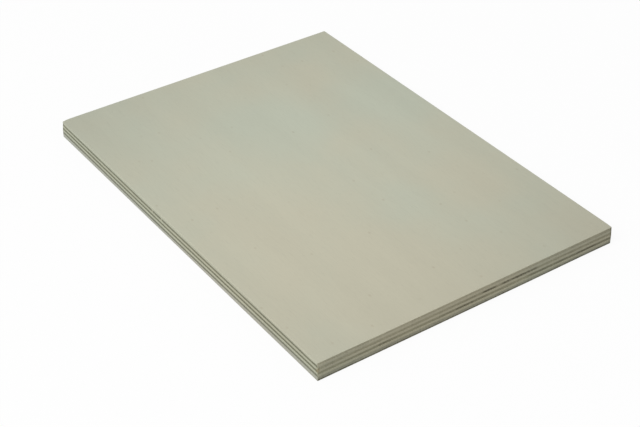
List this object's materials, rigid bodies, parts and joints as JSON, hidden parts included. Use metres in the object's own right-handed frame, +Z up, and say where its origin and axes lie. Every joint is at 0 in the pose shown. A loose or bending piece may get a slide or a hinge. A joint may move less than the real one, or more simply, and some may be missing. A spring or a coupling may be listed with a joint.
{
  "type": "poplar plywood panel",
  "caption": "Flat rectangular panel of sanded poplar plywood, veneers cross-laminated with the face grain along its length, trimmed square and left bare as raw stock.",
  "frame": {"origin": "centre of the panel's underside", "axes": "+X along the panel's length and the face grain, +Y across its width, +Z up through the plies to the face"},
  "size_m": [0.297, 0.21, 0.012],
  "materials": {
    "surface_veneer": "bare, sanded",
    "long_ply": "bare, sawn along the grain",
    "cross_ply": "bare, sawn across the grain"
  },
  "bodies": {
    "root": {"face_veneer": "surface_veneer", "upper_crossband": "cross_ply", "upper_inner_ply": "long_ply", "core_ply": "cross_ply", "lower_inner_ply": "long_ply", "lower_crossband": "cross_ply", "back_veneer": "surface_veneer"}
  },
  "joints": []
}
